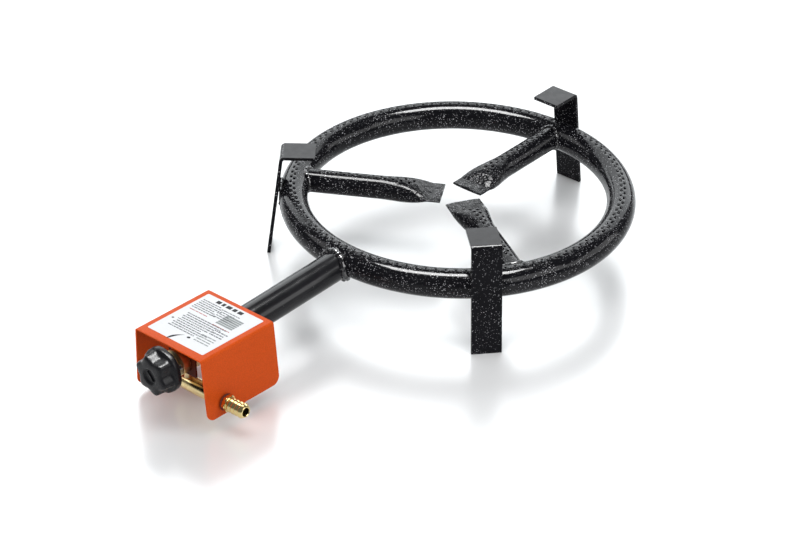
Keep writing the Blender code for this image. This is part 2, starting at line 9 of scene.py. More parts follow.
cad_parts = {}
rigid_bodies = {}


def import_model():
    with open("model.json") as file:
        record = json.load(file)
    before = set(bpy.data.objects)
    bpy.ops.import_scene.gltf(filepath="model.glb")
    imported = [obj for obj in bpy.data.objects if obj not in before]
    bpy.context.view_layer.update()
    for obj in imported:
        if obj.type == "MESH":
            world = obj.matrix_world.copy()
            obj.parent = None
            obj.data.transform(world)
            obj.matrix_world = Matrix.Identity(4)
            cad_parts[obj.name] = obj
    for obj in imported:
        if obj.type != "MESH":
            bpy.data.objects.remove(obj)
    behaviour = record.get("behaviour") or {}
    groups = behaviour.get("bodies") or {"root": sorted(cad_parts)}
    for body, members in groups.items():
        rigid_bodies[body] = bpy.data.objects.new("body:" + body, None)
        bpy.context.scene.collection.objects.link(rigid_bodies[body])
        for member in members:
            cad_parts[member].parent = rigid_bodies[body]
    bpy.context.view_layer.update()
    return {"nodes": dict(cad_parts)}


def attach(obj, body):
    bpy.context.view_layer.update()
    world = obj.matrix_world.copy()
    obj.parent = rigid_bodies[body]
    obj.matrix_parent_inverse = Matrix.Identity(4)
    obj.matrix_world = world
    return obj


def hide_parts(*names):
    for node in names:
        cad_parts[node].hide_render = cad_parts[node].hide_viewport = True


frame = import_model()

MM = 0.001
TAU = 2 * math.pi

# ==== places shared with the CAD, in its row frame =============================================

RING_Y = 94.283 * MM                # ring's centre; U below runs from it towards -Y
RING_R = 137.75 * MM
RING_TUBE_R = 12.25 * MM
RING_Z = 53.2 * MM
TAP_Z = 41.5 * MM
INLET_U = 310.5 * MM                # the cross bar's axis runs along X, at this U and Z
INLET_Z = 17.8 * MM
FRONT_ROLL = math.radians(-2.5)     # the tap and its cover sit a little crooked
COVER_SHIFT_X = 1 * MM

ROLL = (Matrix.Translation((0, 0, TAP_Z)) @ Matrix.Rotation(FRONT_ROLL, 4, "Y")
        @ Matrix.Translation((0, 0, -TAP_Z)))
CENTRE = Matrix.Translation((0, RING_Y, 0))
FRONT = CENTRE @ ROLL
COVER = FRONT @ Matrix.Translation((COVER_SHIFT_X, 0, 0))
TAP = FRONT @ Matrix.Translation((0, 0, TAP_Z)) @ Matrix.Rotation(-math.pi / 2, 4, "Z")
INLET = FRONT @ Matrix.Translation((0, -INLET_U, INLET_Z))


def radial(azimuth):
    """+X out from the ring's centre along an azimuth in degrees."""
    return CENTRE @ Matrix.Rotation(math.radians(azimuth), 4, "Z")


# ==== materials ================================================================================

GLAZE_BLACK, GLAZE_GREY = (0.003, 0.003, 0.004), (0.008, 0.008, 0.010)
FLECK_GREY = (0.42, 0.42, 0.44)
SATIN_BLACK, SATIN_GREY, DUST_GREY = (0.006, 0.006, 0.007), (0.014, 0.014, 0.016), (0.12, 0.12, 0.12)
PAD_DARK, PAD_RUBBED = (0.018, 0.018, 0.02), (0.03, 0.03, 0.033)
PLASTIC_BLACK, PLASTIC_GREY = (0.005, 0.005, 0.006), (0.010, 0.010, 0.012)
ZINC_DULL, ZINC_BRIGHT = (0.55, 0.56, 0.58), (0.68, 0.68, 0.68)
FILM_GREY, FILM_WHITE = (0.67, 0.68, 0.70), (0.72, 0.725, 0.74)
# red fibre colours kept dark: partly painted shade of the gap the washer sits in
FIBRE_DARK, FIBRE_RED = (0.07, 0.016, 0.012), (0.12, 0.03, 0.02)
FLOOR_GREY, FLOOR_WHITE = (0.86, 0.865, 0.87), (0.88, 0.885, 0.89)


class Nodes:
    """Builds one material's node tree round its Principled shader."""

    def __init__(self, name):
        self.mat = bpy.data.materials.new(name)
        self.mat.use_nodes = True
        self.tree = self.mat.node_tree
        self.shader = self.tree.nodes["Principled BSDF"]
        self.coords = self.tree.nodes.new("ShaderNodeTexCoord").outputs["Object"]

    def put(self, kind, inputs=None, **settings):
        """Adds a node. Each input is a value, or the socket that feeds it."""
        node = self.tree.nodes.new("ShaderNode" + kind)
        for key, value in settings.items():
            setattr(node, key, value)
        for key, value in (inputs or {}).items():
            if isinstance(value, bpy.types.NodeSocket):
                self.tree.links.new(value, node.inputs[key])
            else:
                node.inputs[key].default_value = value
        return node

    def link(self, out, socket):
        """Feeds one of the shader's inputs."""
        self.tree.links.new(out, self.shader.inputs[socket])

    def set(self, **values):
        """Sets values on the shader's own inputs."""
        for key, value in values.items():
            self.shader.inputs[key.replace("_", " ")].default_value = value
        return self

    def scaled(self, x=1.0, y=1.0, z=1.0):
        """Object coordinates that squeeze a texture along an axis."""
        return self.put("Mapping", {"Vector": self.coords, "Scale": (x, y, z)}).outputs["Vector"]

    def noise(self, scale, detail, rough=0.55, vector=None):
        """Cloudy noise with features about 1 / scale metres across."""
        return self.put("TexNoise", {"Vector": vector or self.coords, "Scale": scale,
                                     "Detail": detail, "Roughness": rough}).outputs["Fac"]

    def calc(self, operation, a, b, clamp=False):
        return self.put("Math", {0: a, 1: b}, operation=operation, use_clamp=clamp).outputs[0]

    def remap(self, value, a, b, c, d):
        """Turns the range a to b into the range c to d."""
        return self.put("MapRange", {"Value": value, "From Min": a, "From Max": b,
                                     "To Min": c, "To Max": d}).outputs["Result"]

    def spread(self, value, low, high):
        """Spreads a noise, which mostly lies between 0.3 and 0.7, from low to high."""
        return self.remap(value, 0.3, 0.7, low, high)

    def spots(self, scale, low, high):
        """1 inside small spots, 0 outside. Their sizes lie between low and high."""
        cells = self.put("TexVoronoi", {"Vector": self.coords, "Scale": scale, "Randomness": 1.0})
        chance = self.put("SeparateColor", {"Color": cells.outputs["Color"]}).outputs["Red"]
        size = self.remap(chance, 0.0, 1.0, low, high)
        inside = self.calc("SUBTRACT", size, cells.outputs["Distance"])
        edge_sharpness = 9.0
        return self.calc("MULTIPLY", inside, edge_sharpness, clamp=True)

    def colour(self, share, a, b):
        """Blends colour a into colour b."""
        node = self.tree.nodes.new("ShaderNodeMix")
        node.data_type = "RGBA"
        sockets = {s.identifier: s for s in node.inputs}
        self.tree.links.new(share, sockets["Factor_Float"])
        for key, value in (("A_Color", a), ("B_Color", b)):
            if isinstance(value, bpy.types.NodeSocket):
                self.tree.links.new(value, sockets[key])
            else:
                sockets[key].default_value = (*value, 1)
        return {s.identifier: s for s in node.outputs}["Result_Color"]

    def bump(self, height, strength, distance, under=None):
        """Bumps the surface, over another bump where one is given."""
        inputs = {"Height": height, "Strength": strength, "Distance": distance}
        if under:
            inputs["Normal"] = under
        return self.put("Bump", inputs).outputs["Normal"]


def dented_tips(n, strength):
    """Hammer marks on the arms that fade out away from the ring's middle."""
    middle = n.put("VectorMath", {0: n.coords, 1: (0, RING_Y, RING_Z)},
                   operation="DISTANCE").outputs["Value"]
    near_tip = n.remap(middle, 0.024, 0.062, 1.0, 0.0)
    return n.bump(n.calc("MULTIPLY", n.noise(150, 3), near_tip), strength, 0.003)


def enamel(name, sheen, fleck, rough=(0.06, 0.14), dents=0.0):
    """Black vitreous enamel with fine pale flecks."""
    n = Nodes(name)
    fine = n.spots(820, 0.05 * fleck, 0.34 * fleck)
    coarse = n.spots(460, -0.25, 0.28 * fleck)
    crowding = n.remap(n.noise(60, 2), 0.35, 0.65, 0.45, 1.0)
    flecks = n.calc("MULTIPLY", n.calc("MAXIMUM", fine, coarse), crowding)
    glaze = n.colour(n.noise(25, 4), GLAZE_BLACK, GLAZE_GREY)
    n.link(n.colour(flecks, glaze, FLECK_GREY), "Base Color")
    n.link(n.spread(n.noise(140, 4), *rough), "Roughness")
    hammered = dented_tips(n, dents) if dents else None
    peel = n.bump(n.noise(230, 2), 0.14, 0.0004, hammered)
    n.link(n.bump(flecks, 0.35, 0.00012, peel), "Normal")
    return n.set(Specular_IOR_Level=sheen).mat


def satin_black(name):
    """Satin black stove paint on drawn tube, with a little dust."""
    n = Nodes(name)
    drawn = n.noise(55, 4, vector=n.scaled(3, 1, 3))
    paint = n.colour(n.noise(30, 4), SATIN_BLACK, SATIN_GREY)
    n.link(n.colour(n.spots(420, -0.4, 0.2), paint, DUST_GREY), "Base Color")
    n.link(n.spread(drawn, 0.14, 0.22), "Roughness")
    n.link(n.bump(n.noise(420, 3), 0.16, 0.0002), "Normal")
    return n.set(Specular_IOR_Level=0.26).mat


def strap_top(name):
    """Dark grey pan rests, rubbed and scratched by pans."""
    n = Nodes(name)
    rubbed = n.remap(n.noise(45, 5, 0.7), 0.35, 0.7, 0.0, 1.0)
    n.link(n.colour(rubbed, PAD_DARK, PAD_RUBBED), "Base Color")
    n.link(n.spread(n.noise(160, 4), 0.34, 0.52), "Roughness")
    scratches = n.noise(220, 2, vector=n.scaled(1, 12, 1))
    n.link(n.bump(scratches, 0.15, 0.0002, n.bump(n.noise(600, 2), 0.2, 0.0002)), "Normal")
    return n.set(Specular_IOR_Level=0.2).mat


def powder_coat(name, light, deep):
    """Powder coat with orange peel and a little wear."""
    n = Nodes(name)
    worn = tuple(c * 0.5 for c in deep)
    clouds = n.colour(n.noise(18, 4), deep, light)
    grained = n.colour(n.spread(n.noise(900, 3), 0.0, 0.35), clouds, worn)
    n.link(n.colour(n.spots(240, -0.6, 0.16), grained, worn), "Base Color")
    n.link(n.spread(n.noise(90, 4), 0.32, 0.44), "Roughness")
    n.link(n.bump(n.noise(420, 2), 0.3, 0.0003), "Normal")
    return n.set(Specular_IOR_Level=0.06).mat


def brass(name, axis, bright, dull, rough):
    """Brass, slightly tarnished, with fine tool marks round an axis."""
    n = Nodes(name)
    stretch = {"X": (30, 1, 1), "Y": (1, 30, 1)}[axis]
    marks = n.noise(120, 3, vector=n.scaled(*stretch))
    tarnish = n.remap(n.noise(70, 5, 0.65), 0.4, 0.75, 0.0, 1.0)
    n.link(n.colour(tarnish, bright, dull), "Base Color")
    n.link(n.spread(marks, *rough), "Roughness")
    n.link(n.bump(marks, 0.25, 0.0001), "Normal")
    return n.set(Metallic=1.0).mat


def zinc(name):
    """Zinc-plated steel."""
    n = Nodes(name)
    n.link(n.colour(n.noise(300, 4), ZINC_DULL, ZINC_BRIGHT), "Base Color")
    n.link(n.spread(n.noise(500, 4), 0.24, 0.4), "Roughness")
    n.link(n.bump(n.noise(900, 3), 0.2, 0.0001), "Normal")
    return n.set(Metallic=1.0).mat


def moulded_black(name):
    """Black moulded plastic with a fine spark-eroded grain."""
    n = Nodes(name)
    n.link(n.colour(n.noise(120, 3), PLASTIC_BLACK, PLASTIC_GREY), "Base Color")
    n.link(n.spread(n.noise(700, 4), 0.24, 0.36), "Roughness")
    sunk = n.bump(n.noise(160, 2), 0.12, 0.0004)
    n.link(n.bump(n.noise(1500, 2), 0.3, 0.00015, sunk), "Normal")
    return n.set(Specular_IOR_Level=0.2).mat


def film(name):
    """White label film."""
    n = Nodes(name)
    n.link(n.colour(n.noise(60, 3), FILM_GREY, FILM_WHITE), "Base Color")
    n.link(n.spread(n.noise(200, 3), 0.26, 0.38), "Roughness")
    n.link(n.bump(n.noise(90, 2), 0.05, 0.0003), "Normal")
    return n.set(Specular_IOR_Level=0.25).mat


def ink(name, tone):
    """Print with a fine uneven grain."""
    n = Nodes(name)
    thin = tuple(c * 1.4 + 0.01 for c in tone)
    n.link(n.colour(n.remap(n.noise(1400, 2), 0.4, 0.7, 0, 1), tone, thin), "Base Color")
    n.link(n.spread(n.noise(300, 3), 0.35, 0.5), "Roughness")
    return n.set(Specular_IOR_Level=0.1).mat


def fibre(name):
    """Matt red sealing fibre, darkened to red-brown: its own colour plus painted shade of the gap
    beside the collar.
    """
    n = Nodes(name)
    n.link(n.colour(n.noise(900, 4), FIBRE_DARK, FIBRE_RED), "Base Color")
    n.link(n.spread(n.noise(500, 3), 0.6, 0.8), "Roughness")
    n.link(n.bump(n.noise(1200, 3), 0.4, 0.0002), "Normal")
    return n.mat


def pale_floor(name):
    """A pale, slightly glossy studio table."""
    n = Nodes(name)
    n.link(n.colour(n.noise(3, 2), FLOOR_GREY, FLOOR_WHITE), "Base Color")
    n.link(n.spread(n.noise(8, 2), 0.24, 0.27), "Roughness")
    return n.set(Specular_IOR_Level=1.0, IOR=1.8).mat


ENAMEL = enamel("speckled_enamel", 0.17, 1.1)
ARM_ENAMEL = enamel("arm_enamel", 0.13, 1.1, (0.08, 0.16), 0.75)
WELD = enamel("weld_enamel", 1.0, 0.5, (0.05, 0.1))
STRAP = enamel("strap_enamel", 0.08, 0.95, (0.1, 0.2))
PAD = strap_top("pan_rest")
SATIN = satin_black("satin_black_enamel")
ORANGE = powder_coat("orange_paint", (0.72, 0.096, 0.013), (0.62, 0.078, 0.009))
# the bracket's orange paint, darkened to maroon: painted shade under the cover
SHADED_ORANGE = powder_coat("bracket_orange_painted_shade", (0.11, 0.018, 0.008), (0.07, 0.012, 0.006))
BAR_BRASS = brass("bar_brass", "X", (0.93, 0.76, 0.40), (0.80, 0.60, 0.27), (0.14, 0.28))
TAIL_BRASS = brass("tail_brass", "X", (0.83, 0.67, 0.31), (0.72, 0.55, 0.23), (0.12, 0.24))
TAP_BRASS = brass("cast_brass", "Y", (0.90, 0.70, 0.40), (0.70, 0.52, 0.28), (0.3, 0.46))
STEEL = zinc("zinc_steel")
PLASTIC = moulded_black("black_plastic")
FILM = film("label_film")
INK_GREY = ink("grey_ink", (0.10, 0.11, 0.12))
INK_DARK = ink("dark_ink", (0.02, 0.02, 0.022))
INK_RED = ink("red_ink", (0.36, 0.10, 0.09))
INK_PALE = ink("pale_ink", (0.22, 0.24, 0.24))
FIBRE_AND_SHADE = fibre("fibre_washer")


# ==== mesh tools ===============================================================================

BEAD_SIDES = 10
BEAD_RIPPLE = 0.16                  # share by which a weld bead swells from one drop to the next
BEAD_LUMPS = 0.45                   # share by which it is uneven
BEAD_LUMP_SCALE = 300               # lumps per metre


def bevelled(obj, width, segments, angle):
    """Rounds the edges that are sharper than an angle in degrees."""
    mod = obj.modifiers.new("edges", "BEVEL")
    mod.width = width
    mod.segments = segments
    mod.limit_method = "ANGLE"
    mod.angle_limit = math.radians(angle)
    return mod


def shaded(mesh, angle):
    """Smooth shading, apart from edges sharper than an angle in degrees."""
    mesh.shade_smooth()
    mesh.set_sharp_from_angle(angle=math.radians(angle))


def finish(name, bm, mats, body="base", nodes=(), smooth=35, bevel=0.0, merge=1e-7):
    """Turns a bmesh into a piece that rides on a body and stands for CAD nodes."""
    if merge:
        bmesh.ops.remove_doubles(bm, verts=bm.verts, dist=merge)
    obj = plain_object(name, bm)
    for mat in mats if isinstance(mats, list) else [mats]:
        obj.data.materials.append(mat)
    shaded(obj.data, smooth)
    if bevel:
        bevelled(obj, bevel, 3, 30).harden_normals = True
    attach(obj, body)
    if nodes:
        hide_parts(*nodes)
    return obj


def plain_object(name, bm):
    """Puts a bmesh into the scene as an object, its faces turned outwards."""
    bmesh.ops.recalc_face_normals(bm, faces=bm.faces)
    mesh = bpy.data.meshes.new(name)
    bm.to_mesh(mesh)
    bm.free()
    obj = bpy.data.objects.new(name, mesh)
    bpy.context.scene.collection.objects.link(obj)
    return obj


def skin(bm, rings, loop=False):
    """Joins rings of points with faces, and closes the ends unless the rings form a loop.

    A ring of one point is a tip.
    """
    rows = [[bm.verts.new(p) for p in ring] for ring in rings]
    pairs = list(zip(rows, rows[1:]))
    if loop:
        pairs.append((rows[-1], rows[0]))
    for a, b in pairs:
        count = max(len(a), len(b))
        for i in range(count):
            j = (i + 1) % count
            if len(a) == 1:
                bm.faces.new((a[0], b[i], b[j]))
            elif len(b) == 1:
                bm.faces.new((a[j], a[i], b[0]))
            else:
                bm.faces.new((a[i], b[i], b[j], a[j]))
    if not loop:
        for row in (rows[0], rows[-1]):
            if len(row) > 2:
                bm.faces.new(row)
    return bm


def in_metres(profile):
    """A profile drawn in millimetres, as (x, radius[, share of shape]), in metres."""
    return [(x * MM, radius * MM, *share) for x, radius, *share in profile]


def chamfered(x0, x1, radius, edge=0.6):
    """The outside of a turned part, in millimetres, with its two edges broken."""
    soft = edge * 0.3
    return [(x0, radius - edge), (x0 + soft, radius - soft), (x0 + edge, radius),
            (x1 - edge, radius), (x1 - soft, radius - soft), (x1, radius - edge)]


def turned(bm, profile, at, sides=96, loop=False, shape=None):
    """Turns (x, radius[, share of shape]) points about the local +X of the matrix at.

    shape(angle) is how far the outline lies inside its circle, as a share of the radius.
    """
    rings = []
    for x, radius, *share in profile:
        if radius == 0:
            rings.append([at @ Vector((x, 0, 0))])
            continue
        ring = []
        for k in range(sides):
            a = TAU * k / sides
            r = radius
            if share:
                r *= 1 - share[0] * shape(a)
            ring.append(at @ Vector((x, r * math.cos(a), r * math.sin(a))))
        rings.append(ring)
    return skin(bm, rings, loop=loop)


def hexed(a):
    """How far a hexagon's side lies inside the circle through its corners."""
    part = (a % (TAU / 6)) - TAU / 12
    return 1 - math.cos(math.pi / 6) / math.cos(part)


def bead(points, radius, seed, at, closed=True):
    """A weld bead: a lumpy run along a line of points."""
    points = [Vector(p) for p in points]
    last = len(points) - 1
    rings = []
    for i, p in enumerate(points):
        before = points[i - 1] if closed or i > 0 else points[0]
        after = points[(i + 1) % len(points)] if closed else points[min(last, i + 1)]
        along = (after - before).normalized()
        side = along.cross(Vector((0, 0, 1)))
        if side.length < 0.1:
            side = along.cross(Vector((1, 0, 0)))
        side.normalize()
        up = side.cross(along)
        ripple = 1 + BEAD_RIPPLE * math.sin(i * 1.7 + seed)
        ring = []
        for k in range(BEAD_SIDES):
            a = TAU * k / BEAD_SIDES
            d = side * math.cos(a) + up * math.sin(a)
            place = (p + d * radius) * BEAD_LUMP_SCALE + Vector((seed, 0, 0))
            lump = 1 + BEAD_LUMPS * noise.noise(place)
            ring.append(at @ (p + d * radius * ripple * lump))
        rings.append(ring)
    if not closed:
        for end in (0, -1):
            middle = sum(rings[end], Vector()) / BEAD_SIDES
            rings[end] = [middle + (v - middle) * 0.35 for v in rings[end]]
    return skin(bmesh.new(), rings, loop=closed)


def bore(obj, tool_bm):
    """Cuts a bmesh out of an object's mesh."""
    tool = plain_object("tool", tool_bm)
    mod = obj.modifiers.new("bore", "BOOLEAN")
    mod.operation = "DIFFERENCE"
    mod.solver = "EXACT"
    mod.object = tool
    graph = bpy.context.evaluated_depsgraph_get()
    obj_cut = bpy.data.meshes.new_from_object(obj.evaluated_get(graph))
    obj.modifiers.remove(mod)
    obj.data = obj_cut
    shaded(obj_cut, 30)
    bpy.data.objects.remove(tool)


# ==== tubes drilled with flame ports ===========================================================

PORT_R = 1.1 * MM
PORT_ROW = 2.8 * MM                 # round the tube, between the two staggered rows
PORT_COLUMNS = 6                    # mesh columns to one pitch
PORT_STEPS = ((PORT_R + 0.22 * MM, 0), (PORT_R + 0.05 * MM, 0.1 * MM), (PORT_R, 0.3 * MM),
              (PORT_R, 1.4 * MM))   # radius and depth of a hole, from its soft lip inwards
RING_PORTS = 108                    # in each row
RING_FIRST_ROW = -1.9 * MM          # the ring's ports lie on its crest and a little outside it
RING_ROWS, ARM_ROWS = 42, 40        # mesh rows round the rest of each tube
WELD_CLEAR = 1.02                   # a weld's run is this much wider than the tube it joins

ARM_AZIMUTHS = (93, 213, 333)
ARM_R = 10 * MM
ARM_TIP = 12.7 * MM                 # from the ring's centre
ARM_END = 133.5 * MM
ARM_PITCH = 7 * MM                  # between ports
ARM_PORTS_FROM, ARM_PORTS_TO = 27 * MM, 105 * MM    # from the tip
ARM_LIP = 11 * MM
ARM_LIP_W = 30.7 * MM
ARM_LIP_T = 2.6 * MM
ARM_FLARE = 43 * MM                 # from the flat lip to the round tube
ARM_RISE = 0.85                     # share of the flare that gives the tube its full height
ARM_SQUARE = 0.42                   # how square the flattened section gets
ARM_LIP_STEPS = ((0.35 * MM, 0.72, -0.25 * MM), (1 * MM, 0.14, -0.3 * MM),
                 (1 * MM, 0.14, 2 * MM))    # draw-in of the sides, share of height, step along
ARM_WELD_R = 1.7 * MM


def port(bm, rim, column, t, surface):
    """Fills a rim of skin vertices with one round hole about a column and a place t."""
    count = len(rim)
    outer = rim
    for radius, depth in PORT_STEPS:
        inner = []
        for k in range(count):
            a = 0.75 * TAU + (k - PORT_COLUMNS // 2) * TAU / count
            along = column + radius * math.cos(a) / surface.step
            inner.append(bm.verts.new(surface(along, t + radius * math.sin(a), depth)))
        for k in range(count):
            m = (k + 1) % count
            bm.faces.new((outer[k], outer[m], inner[m], inner[k]))
        outer = inner


def drilled(surface, columns, first_row, rest_rows, starts, loop):
    """A tube skin with two staggered rows of ports along its crest.

    surface(column, t, depth) gives the point at a column, t metres round the tube from its
    crest, and depth below the skin. starts holds the columns at which a port may start.
    """
    bm = bmesh.new()
    ts = [first_row + PORT_ROW * i / 2 for i in range(5)]
    rest = TAU * surface.radius - 2 * PORT_ROW
    ts += [ts[4] + rest * (i + 1) / rest_rows for i in range(rest_rows - 1)]
    verts = {}

    def vert(column, row):
        key = (column % columns if loop else column, row % len(ts))
        if key not in verts:
            verts[key] = bm.verts.new(surface(key[0], ts[key[1]], 0))
        return verts[key]

    half = PORT_COLUMNS // 2
    last = columns if loop else columns - 1
    taken = set()
    for side in (0, 1):
        row = 2 * side
        end = last + side * half if loop else last - PORT_COLUMNS + 1
        for start in range(side * half, end, PORT_COLUMNS):
            if start not in starts:
                continue
            stop = start + PORT_COLUMNS
            rim = [(c, row) for c in range(start, stop)]
            rim += [(stop, row), (stop, row + 1)]
            rim += [(c, row + 2) for c in range(stop, start, -1)]
            rim += [(start, row + 2), (start, row + 1)]
            port(bm, [vert(*key) for key in rim], start + half, ts[row + 1], surface)
            taken.update((c % columns, r) for c in range(start, stop) for r in (row, row + 1))
    for column in range(last):
        for row in range(len(ts)):
            if (column, row) not in taken:
                bm.faces.new((vert(column, row), vert(column + 1, row),
                              vert(column + 1, row + 1), vert(column, row + 1)))
    return bm


class RingSurface:
    """The ring's tube."""
    radius = RING_TUBE_R
    columns = RING_PORTS * PORT_COLUMNS
    step = TAU * RING_R / columns

    def __call__(self, column, t, depth):
        a = TAU * column / self.columns
        b = math.pi / 2 - t / RING_TUBE_R
        r = RING_TUBE_R - depth
        out = RING_R + r * math.cos(b)
        return CENTRE @ Vector((out * math.cos(a), out * math.sin(a), RING_Z + r * math.sin(b)))


def make_ring():
    surface = RingSurface()
    anywhere = range(surface.columns + PORT_COLUMNS)
    bm = drilled(surface, surface.columns, RING_FIRST_ROW, RING_ROWS, anywhere, True)
    finish("ring_skin", bm, ENAMEL, nodes=["burner_ring"])


class ArmSurface:
    """An arm: a round tube crimped to a flat lip at its tip."""
    radius = ARM_R
    step = ARM_PITCH / PORT_COLUMNS

    def __init__(self, azimuth):
        self.at = radial(azimuth) @ Matrix.Translation((0, 0, RING_Z))

    def section(self, x):
        """Half the width and half the height at x."""
        t = min(1.0, max(0.0, (x - ARM_TIP - ARM_LIP) / ARM_FLARE))
        width = ARM_LIP_W + (2 * ARM_R - ARM_LIP_W) * (t * t * (3 - 2 * t))
        rise = min(1.0, t / ARM_RISE)
        height = ARM_LIP_T + (2 * ARM_R - ARM_LIP_T) * (1 - (1 - rise) ** 3)
        return width / 2, height / 2

    def __call__(self, column, t, depth):
        x = ARM_TIP + column * self.step
        half_w, half_h = self.section(x)
        flat = max(0.0, 1 - half_h / half_w)
        power = 1 - ARM_SQUARE * flat
        b = math.pi / 2 - t / ARM_R
        c, s = math.cos(b), math.sin(b)
        y = math.copysign(abs(c) ** power, c) * (half_w - depth)
        z = math.copysign(abs(s) ** power, s) * (half_h - depth)
        return self.at @ Vector((x, y, z))


def make_arms():
    for number, azimuth in enumerate(ARM_AZIMUTHS, 1):
        surface = ArmSurface(azimuth)
        columns = int((ARM_END - ARM_TIP) / surface.step) + 1
        first = int(ARM_PORTS_FROM / surface.step) // PORT_COLUMNS * PORT_COLUMNS
        starts = range(first, int(ARM_PORTS_TO / surface.step))
        bm = drilled(surface, columns, -PORT_ROW, ARM_ROWS, starts, False)
        close_lip(bm, surface)
        finish(f"arm_skin_{number}", bm, ARM_ENAMEL, nodes=[f"inner_arm_{number}"],
               smooth=50)
        points = arm_joint(72)
        finish(f"arm_weld_{number}", bead(points, ARM_WELD_R, number, surface.at), WELD,
               smooth=80)


def close_lip(bm, surface):
    """Rounds over the crimped end, and lets in the seam between its two walls."""
    inverse = surface.at.inverted()
    rim = [e for e in bm.edges if e.is_boundary
           and all((inverse @ v.co).x < ARM_TIP + 1e-6 for v in e.verts)]
    outer = loop = ordered(rim)
    for draw_in, height, push in ARM_LIP_STEPS:
        inner = []
        for v in loop:
            p = inverse @ v.co
            y = p.y * (1 - draw_in / (ARM_LIP_W / 2))
            inner.append(bm.verts.new(surface.at @ Vector((p.x + push, y, p.z * height))))
        for k in range(len(loop)):
            m = (k + 1) % len(loop)
            bm.faces.new((outer[k], outer[m], inner[m], inner[k]))
        outer = inner
    bm.faces.new(outer)


def ordered(edges):
    """The vertices of a closed loop of edges, in order."""
    left = set(edges[1:])
    loop = list(edges[0].verts)
    while left:
        edge = next(e for e in loop[-1].link_edges if e in left)
        left.discard(edge)
        loop.append(edge.other_vert(loop[-1]))
    return loop[:-1]


def arm_joint(count):
    """The line on which an arm meets the ring's inside."""
    points = []
    for k in range(count):
        a = TAU * k / count
        y, z = ARM_R * math.cos(a), ARM_R * math.sin(a)
        out = RING_R - math.sqrt(RING_TUBE_R ** 2 - z * z)
        x = math.sqrt(out * out - y * y) - 0.3 * MM
        points.append((x, y * WELD_CLEAR, z * WELD_CLEAR))
    return points


# ==== legs =====================================================================================

LEG_AZIMUTHS = (93, 222, 321)
LEG_W = 25 * MM
LEG_T = 3 * MM
LEG_H = 93.5 * MM
LEG_FOOT_R = 160.5 * MM
LEG_SPLAY = math.radians(7.4)
LEG_EDGE = 0.45 * MM
PAD_LENGTH = 29.5 * MM
BEND_R = 4.5 * MM
BEND_STEPS = 10
LEG_WELD_R = 1.5 * MM
LEG_WELD_DROP = 6.5 * MM            # of the two welds, from the ring's axis
LEG_WELD_INSET = 5 * MM             # by which a weld is shorter than the strap is wide
LEG_WELD_STEPS = 24


def leg_outline():
    """The strap's side view, as (distance from the ring's centre, height)."""
    tan, cos = math.tan(LEG_SPLAY), math.cos(LEG_SPLAY)
    turn = math.pi / 2 + LEG_SPLAY
    top_r = LEG_FOOT_R - LEG_H * tan
    centre = (top_r - BEND_R * math.tan(turn / 2), LEG_H - BEND_R)
    sweep = math.pi / 2 - LEG_SPLAY
    angles = [math.pi / 2 - sweep * i / BEND_STEPS for i in range(BEND_STEPS + 1)]
    outer, inner = ([(centre[0] + radius * math.cos(a), centre[1] + radius * math.sin(a))
                     for a in angles] for radius in (BEND_R, BEND_R - LEG_T))
    end = outer[-1]
    shift = LEG_FOOT_R - (end[0] + end[1] * tan)    # brings the shin's foot to its place
    outline = [(top_r - PAD_LENGTH, LEG_H - LEG_T), (top_r - PAD_LENGTH, LEG_H)]
    outline += [(r + shift, z) for r, z in outer]
    outline += [(LEG_FOOT_R, 0), (LEG_FOOT_R - LEG_T / cos, 0)]
    outline += [(r + shift, z) for r, z in reversed(inner)]
    return outline


def leg_joint(side):
    """The line of a weld on the ring's outside, below (-1) or above (1) its axis."""
    points = []
    for k in range(LEG_WELD_STEPS + 1):
        y = (k / LEG_WELD_STEPS - 0.5) * (LEG_W - LEG_WELD_INSET)
        rise = side * LEG_WELD_DROP + 0.3 * MM * math.sin(k)
        out = RING_R + math.sqrt(RING_TUBE_R ** 2 - rise ** 2)
        points.append((math.sqrt(out * out - y * y) + 0.6 * MM, y, RING_Z + rise))
    return points


def make_legs():
    outline = leg_outline()
    for number, azimuth in enumerate(LEG_AZIMUTHS, 1):
        at = radial(azimuth)
        edges = (-LEG_W / 2, LEG_W / 2)
        bm = skin(bmesh.new(), [[at @ Vector((r, y, z)) for r, z in outline] for y in edges])
        shin, pad, bend = 0, 1, 2
        for face in bm.faces:
            height = face.calc_center_median().z
            face.material_index = shin
            if height > LEG_H - 0.2 * MM:
                face.material_index = pad
            elif height > LEG_H - 0.8 * BEND_R and len(face.verts) == 4:
                face.material_index = bend
        finish(f"leg_strap_{number}", bm, [STRAP, PAD, ENAMEL], nodes=[f"leg_{number}"],
               bevel=LEG_EDGE)
        for part, side in enumerate((-1, 1)):
            bm = bead(leg_joint(side), LEG_WELD_R, number + part * 3, at, closed=False)
            finish(f"leg_weld_{number}_{part + 1}", bm, WELD,
                   smooth=80)


# ==== mixing tube ==============================================================================

MIX_R = 12.5 * MM
MIX_WALL = 1.5 * MM
MIX_U = (141 * MM, 286 * MM)        # its two ends, and the height of its axis there
MIX_Z = (50.1 * MM, 41.2 * MM)
MIX_STEPS = 24
MIX_WELD_R = 3 * MM
MIX_JOINT_U = 6 * MM                # of the weld's middle, from the tube's end
MIX_JOINT_REACH = 3.4 * MM          # least distance of the weld from the ring's centre line


